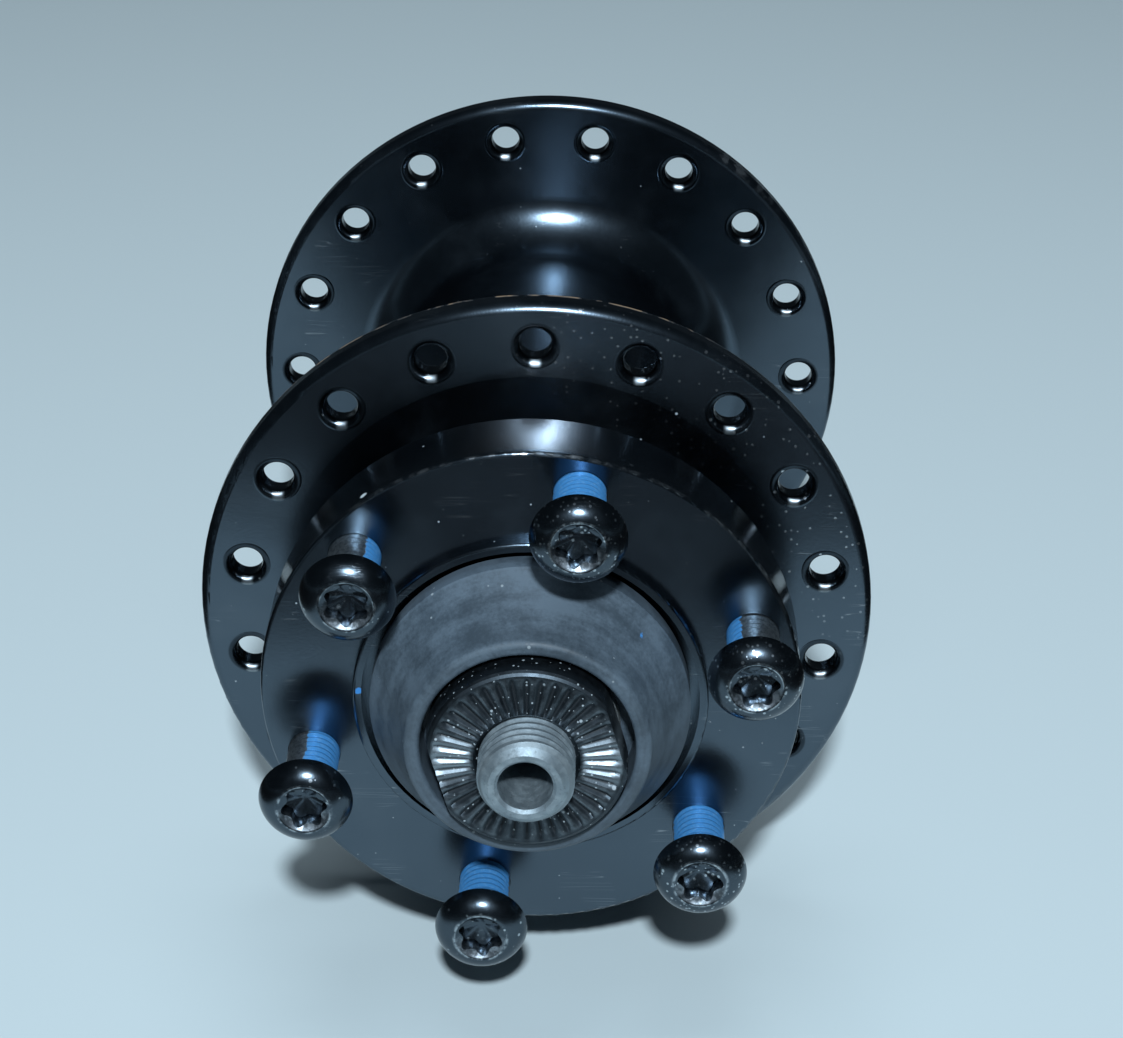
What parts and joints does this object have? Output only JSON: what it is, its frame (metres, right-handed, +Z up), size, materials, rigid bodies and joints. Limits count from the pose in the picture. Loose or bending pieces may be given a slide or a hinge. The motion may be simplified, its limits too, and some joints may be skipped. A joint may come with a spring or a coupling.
{
  "type": "bicycle front hub",
  "caption": "Black disc-brake front hub with drilled spoke flanges, rotor mount with backed-out bolts, rubber boots, cup-and-cone bearings and a hollow axle.",
  "frame": {"origin": "on the axle, halfway between the two locknut faces", "axes": "+Y along the axle from the rotor side to the far side, +Z up, +X to the right when the rotor side faces you"},
  "size_m": [0.0672, 0.109, 0.0672],
  "materials": {
    "black_shell": "gloss black anodised, worn on the edges",
    "axle_steel": "plain grey steel, threaded",
    "ball_steel": "polished bearing steel",
    "race_steel": "ground bearing steel",
    "plated_steel": "zinc plated sheet",
    "cone_steel": "ground and plated steel",
    "seal_rubber": "matt black rubber",
    "washer_steel": "plain steel",
    "locknut_black": "dark oxide, crests rubbed bright",
    "boot_rubber": "dusty dark grey rubber",
    "bolt_black": "shiny black oxide, blue thread patch"
  },
  "bodies": {
    "axle_set": {"axle": "axle_steel", "rotor_side_cone": "cone_steel", "rotor_side_cone_seal": "seal_rubber", "rotor_side_washer": "washer_steel", "rotor_side_locknut": "locknut_black", "rotor_side_rubber_boot": "boot_rubber", "far_side_cone": "cone_steel", "far_side_cone_seal": "seal_rubber", "far_side_washer": "washer_steel", "far_side_locknut": "locknut_black", "far_side_rubber_boot": "boot_rubber"},
    "hub": {"hub_shell": "black_shell", "rotor_side_bearing_cup": "race_steel", "rotor_side_dust_cap": "plated_steel", "far_side_bearing_cup": "race_steel", "far_side_dust_cap": "plated_steel"},
    "rotor_side_balls": {"rotor_side_bearing_balls": "ball_steel"},
    "far_side_balls": {"far_side_bearing_balls": "ball_steel"},
    "rotor_bolt_1": {"rotor_bolt_1": "bolt_black"},
    "rotor_bolt_2": {"rotor_bolt_2": "bolt_black"},
    "rotor_bolt_3": {"rotor_bolt_3": "bolt_black"},
    "rotor_bolt_4": {"rotor_bolt_4": "bolt_black"},
    "rotor_bolt_5": {"rotor_bolt_5": "bolt_black"},
    "rotor_bolt_6": {"rotor_bolt_6": "bolt_black"}
  },
  "joints": [
    {"name": "hub_spin", "type": "hinge", "parent": "axle_set", "child": "hub", "pos_m": [0, 0, 0], "axis": [0, 1, 0], "continuous": true},
    {"name": "rotor_side_balls_orbit", "type": "hinge", "parent": "axle_set", "child": "rotor_side_balls", "pos_m": [0, -0.0315, 0], "axis": [0, 1, 0], "continuous": true},
    {"name": "far_side_balls_orbit", "type": "hinge", "parent": "axle_set", "child": "far_side_balls", "pos_m": [0, 0.0315, 0], "axis": [0, 1, 0], "continuous": true},
    {"name": "rotor_bolt_1_screw", "type": "slide", "parent": "hub", "child": "rotor_bolt_1", "axis": [0, 1, 0], "range_m": [-0.0021, 0.0074]},
    {"name": "rotor_bolt_2_screw", "type": "slide", "parent": "hub", "child": "rotor_bolt_2", "axis": [0, 1, 0], "range_m": [-0.0029, 0.0066]},
    {"name": "rotor_bolt_3_screw", "type": "slide", "parent": "hub", "child": "rotor_bolt_3", "axis": [0, 1, 0], "range_m": [-0.0027, 0.0068]},
    {"name": "rotor_bolt_4_screw", "type": "slide", "parent": "hub", "child": "rotor_bolt_4", "axis": [0, 1, 0], "range_m": [-0.0029, 0.0066]},
    {"name": "rotor_bolt_5_screw", "type": "slide", "parent": "hub", "child": "rotor_bolt_5", "axis": [0, 1, 0], "range_m": [-0.0024, 0.0071]},
    {"name": "rotor_bolt_6_screw", "type": "slide", "parent": "hub", "child": "rotor_bolt_6", "axis": [0, 1, 0], "range_m": [-0.003, 0.0065]}
  ],
  "couplings": [
    {"joint": "rotor_side_balls_orbit", "follows": "hub_spin", "ratio": 0.6027},
    {"joint": "far_side_balls_orbit", "follows": "hub_spin", "ratio": 0.6027}
  ]
}
